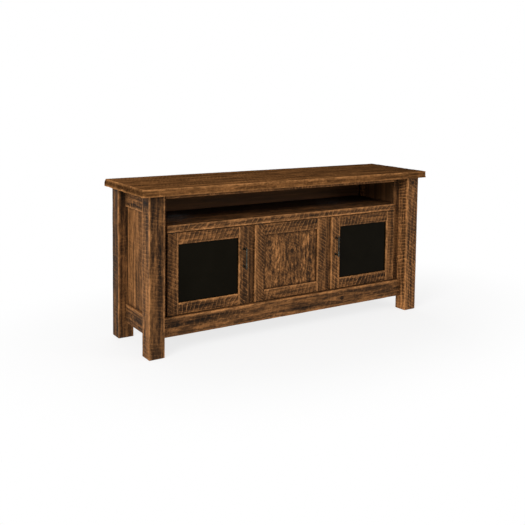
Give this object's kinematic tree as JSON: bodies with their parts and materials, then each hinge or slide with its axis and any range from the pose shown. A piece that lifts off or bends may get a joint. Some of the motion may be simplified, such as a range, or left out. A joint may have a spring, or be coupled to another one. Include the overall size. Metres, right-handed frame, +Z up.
{
  "type": "tv stand",
  "caption": "Low tv stand of rough-sawn boards on square posts, with an open media shelf over glazed outer doors and a flat panel center door.",
  "frame": {"origin": "on the floor, under the middle of the top", "axes": "+X along the width to the right seen from the front, -Y towards the front, +Z up"},
  "size_m": [1.651, 0.457, 0.762],
  "materials": {
    "wood_top": "rough-sawn boards, worn smoother on the faces, satin brown stain",
    "wood_post": "rough-sawn timber with saw marks and worn lighter corners, dark brown stain",
    "wood_rail": "rough-sawn timber with saw marks and worn lighter edges, dark brown stain",
    "wood_side_board": "rough-sawn boards with streaky grain, brown stain",
    "wood_door": "rough-sawn timber with slanting saw marks, dark brown stain",
    "wood_panel": "rough-sawn boards with knots and a split, brown stain",
    "wood_inner": "sawn timber, brown stain",
    "plywood": "smooth veneered panel, brown stain",
    "door_glass": "dark tinted glass, polished",
    "pull_iron": "aged pewter grey, softly polished on the high spots",
    "steel": "dull zinc plated",
    "catch_plastic": "brown moulded plastic"
  },
  "bodies": {
    "root": {"top_board_front": "wood_top", "top_board_middle": "wood_top", "top_board_back": "wood_top", "post_front_left": "wood_post", "post_front_right": "wood_post", "post_back_left": "wood_post", "post_back_right": "wood_post", "side_top_rail_left": "wood_rail", "side_top_rail_right": "wood_rail", "side_bottom_rail_left": "wood_rail", "side_bottom_rail_right": "wood_rail", "side_boards_left": "wood_side_board", "side_boards_right": "wood_side_board", "side_liner_left": "plywood", "side_liner_right": "plywood", "front_apron": "wood_rail", "back_bottom_rail": "wood_inner", "back_top_rail": "wood_inner", "back_panel": "plywood", "bottom_panel": "plywood", "partition_left": "plywood", "partition_right": "plywood", "media_shelf": "wood_rail", "adjustable_shelves": "plywood", "shelf_pins": "steel", "support_cleats": "wood_inner", "carcass_screws": "steel", "face_stile_left": "wood_rail", "face_stile_right": "wood_rail", "divider_stile_left": "wood_rail", "divider_stile_right": "wood_rail", "face_top_rail": "wood_rail", "hinge_frame_leaves": "steel", "hinge_pins": "steel", "magnetic_catches": "catch_plastic", "touch_latch_body": "catch_plastic"},
    "door_left": {"left_door_hinge_stile": "wood_door", "left_door_pull_stile": "wood_door", "left_door_top_rail": "wood_door", "left_door_bottom_rail": "wood_door", "left_door_glass": "door_glass", "left_door_glass_stops": "wood_door", "left_door_pull": "pull_iron", "left_door_fittings": "steel"},
    "door_center": {"center_door_hinge_stile": "wood_door", "center_door_free_stile": "wood_door", "center_door_top_rail": "wood_door", "center_door_bottom_rail": "wood_door", "center_door_panel": "wood_panel", "center_door_fittings": "steel"},
    "door_right": {"right_door_hinge_stile": "wood_door", "right_door_pull_stile": "wood_door", "right_door_top_rail": "wood_door", "right_door_bottom_rail": "wood_door", "right_door_glass": "door_glass", "right_door_glass_stops": "wood_door", "right_door_pull": "pull_iron", "right_door_fittings": "steel"},
    "latch_plunger": {"touch_latch_plunger": "steel"}
  },
  "joints": [
    {"name": "left_door_hinge", "type": "hinge", "parent": "root", "child": "door_left", "pos_m": [-0.663, -0.1435, 0.165], "axis": [0, 0, -1], "range_deg": [0, 105]},
    {"name": "center_door_hinge", "type": "hinge", "parent": "root", "child": "door_center", "pos_m": [-0.20233, -0.1435, 0.165], "axis": [0, 0, -1], "range_deg": [0, 100]},
    {"name": "right_door_hinge", "type": "hinge", "parent": "root", "child": "door_right", "pos_m": [0.663, -0.1435, 0.165], "axis": [0, 0, 1], "range_deg": [0, 105]},
    {"name": "latch_plunger_press", "type": "slide", "parent": "root", "child": "latch_plunger", "axis": [0, 1, 0], "range_m": [0, 0.003], "stiffness_N_per_m": 400, "springref_m": -0.004}
  ]
}
